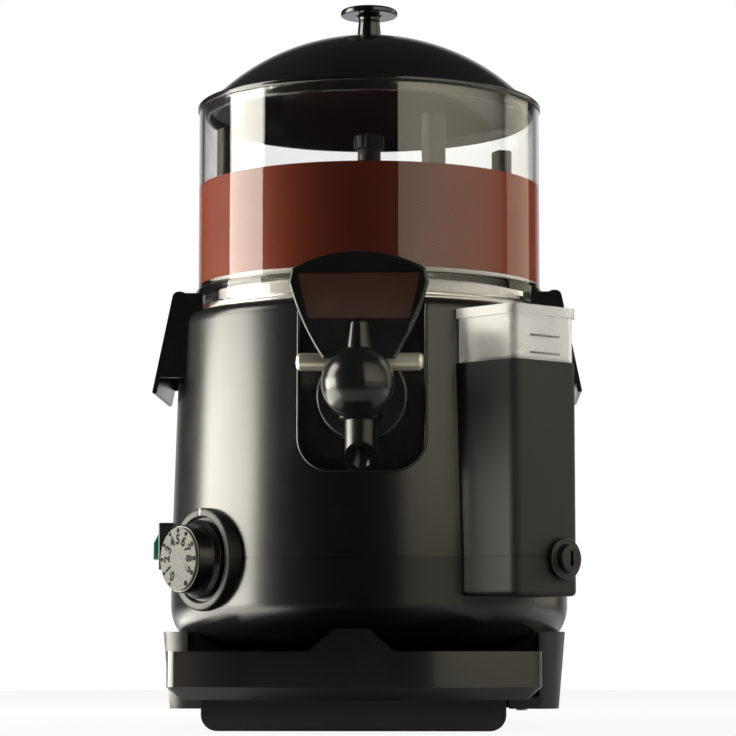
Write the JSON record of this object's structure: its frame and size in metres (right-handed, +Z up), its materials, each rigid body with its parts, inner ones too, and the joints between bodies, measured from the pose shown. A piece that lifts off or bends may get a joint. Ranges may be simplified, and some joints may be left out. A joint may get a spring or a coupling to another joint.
{
  "type": "hot chocolate dispenser",
  "caption": "Table-top hot chocolate dispenser: water-bath barrel with a clear bowl and stirrer under a domed lid, lever tap, filler cup, heat dial and pull-out drip tray.",
  "frame": {"origin": "on the table under the barrel's axis, at the level of the feet", "axes": "+Z up along the barrel's axis, -Y towards the tap and the drip tray, +X to the right of a user at the tap"},
  "size_m": [0.2729, 0.41, 0.46],
  "materials": {
    "body_plastic": "satin black moulded plastic",
    "base_plastic": "satin black moulded plastic",
    "tray_plastic": "glossy black moulded plastic",
    "grid_plastic": "black moulded plastic",
    "lid_plastic": "glossy black moulded plastic",
    "lever_plastic": "glossy black moulded plastic",
    "tap_plastic": "satin black moulded plastic",
    "piston_plastic": "natural acetal",
    "badge_plastic": "dark brown gloss panel",
    "clear_plastic": "clear polycarbonate",
    "frosted_plastic": "clear polycarbonate, slightly frosted",
    "stirrer_plastic": "black food-safe plastic",
    "stainless": "brushed stainless steel",
    "pin_stainless": "polished stainless steel",
    "plate_steel": "zinc-plated sheet steel",
    "screw_steel": "plated steel",
    "heater_steel": "heat-darkened stainless sheath",
    "silicone": "translucent silicone",
    "foot_rubber": "black rubber",
    "bush_plastic": "natural bearing plastic",
    "gear_plastic": "natural acetal",
    "brass": "machined brass",
    "motor_paint": "dark painted can",
    "dial_metal": "satin aluminium face",
    "thermostat_plastic": "brown phenolic",
    "switch_green": "translucent green rocker"
  },
  "bodies": {
    "body": {"upper_shell": "body_plastic", "lower_shell": "body_plastic", "base_frame": "base_plastic", "base_plate": "plate_steel", "base_screws": "screw_steel", "rubber_feet": "foot_rubber", "water_tank": "stainless", "heating_element": "heater_steel", "bowl_well": "stainless", "outlet_seal": "silicone", "sleeve_seal": "silicone", "bowl_gasket": "silicone", "bowl": "clear_plastic", "upper_bush": "bush_plastic", "lower_bush": "bush_plastic", "motor_bracket": "plate_steel", "motor_pillars": "plate_steel", "motor": "motor_paint", "tap_body": "tap_plastic", "tap_spout": "tap_plastic", "tap_cap": "tap_plastic", "tap_spring": "screw_steel", "lever_pin": "pin_stainless", "handle_left": "body_plastic", "handle_right": "body_plastic", "filler_cup": "frosted_plastic", "feed_pipe": "stainless", "drain_pipe": "stainless", "dial_bezel": "body_plastic", "thermostat": "thermostat_plastic", "switch_housing": "base_plastic", "rear_cover": "base_plastic", "cover_screws": "screw_steel", "cable_gland": "base_plastic"},
    "lid": {"lid": "lid_plastic", "lid_knob": "lid_plastic", "lid_screw": "screw_steel"},
    "stirrer": {"stirrer": "stirrer_plastic", "stirrer_nut": "stirrer_plastic", "drive_shaft": "stainless", "drive_gear": "gear_plastic"},
    "motor_rotor": {"motor_pinion": "brass"},
    "lever": {"tap_lever": "lever_plastic", "badge_panel": "badge_plastic"},
    "piston": {"tap_piston": "piston_plastic", "piston_seals": "silicone"},
    "dial": {"dial_knob": "lever_plastic", "dial_face": "dial_metal", "thermostat_spindle": "stainless"},
    "rocker": {"switch_rocker": "switch_green"},
    "tray": {"drip_tray": "tray_plastic"},
    "grid": {"drip_grid": "grid_plastic"},
    "drain": {"drain_cap": "tap_plastic", "drain_seal": "silicone"}
  },
  "joints": [
    {"name": "lid_lift", "type": "slide", "parent": "body", "child": "lid", "axis": [0, 0, 1], "range_m": [0, 0.12]},
    {"name": "stirrer_turn", "type": "hinge", "parent": "body", "child": "stirrer", "pos_m": [0, 0, 0.133], "axis": [0, 0, 1], "continuous": true},
    {"name": "motor_turn", "type": "hinge", "parent": "body", "child": "motor_rotor", "pos_m": [0, 0.04, 0.133], "axis": [0, 0, 1], "continuous": true},
    {"name": "lever_tilt", "type": "hinge", "parent": "body", "child": "lever", "pos_m": [0, -0.152, 0.2135], "axis": [1, 0, 0], "range_deg": [0, 20], "stiffness_Nm_per_rad": 0.5, "springref_deg": -11.46},
    {"name": "piston_lift", "type": "slide", "parent": "body", "child": "piston", "axis": [0, 0, 1], "range_m": [0, 0.0062], "deforming": ["tap_spring"]},
    {"name": "dial_turn", "type": "hinge", "parent": "body", "child": "dial", "pos_m": [-0.10342, -0.08678, 0.1], "axis": [-0.766, -0.6428, 0], "range_deg": [-270, 0]},
    {"name": "rocker_tilt", "type": "hinge", "parent": "body", "child": "rocker", "pos_m": [-0.13, 0, 0.111], "axis": [0, -1, 0], "range_deg": [0, 28]},
    {"name": "tray_pull", "type": "slide", "parent": "body", "child": "tray", "axis": [0, -1, 0], "range_m": [0, 0.2]},
    {"name": "grid_lift", "type": "slide", "parent": "tray", "child": "grid", "axis": [0, 0, 1], "range_m": [0, 0.03]},
    {"name": "drain_cap_pull", "type": "slide", "parent": "body", "child": "drain", "axis": [0.6691, -0.7431, 0], "range_m": [0, 0.025]}
  ],
  "couplings": [
    {"joint": "motor_turn", "follows": "stirrer_turn", "ratio": -3},
    {"joint": "piston_lift", "follows": "lever_tilt", "m_per_rad": 0.0175}
  ]
}
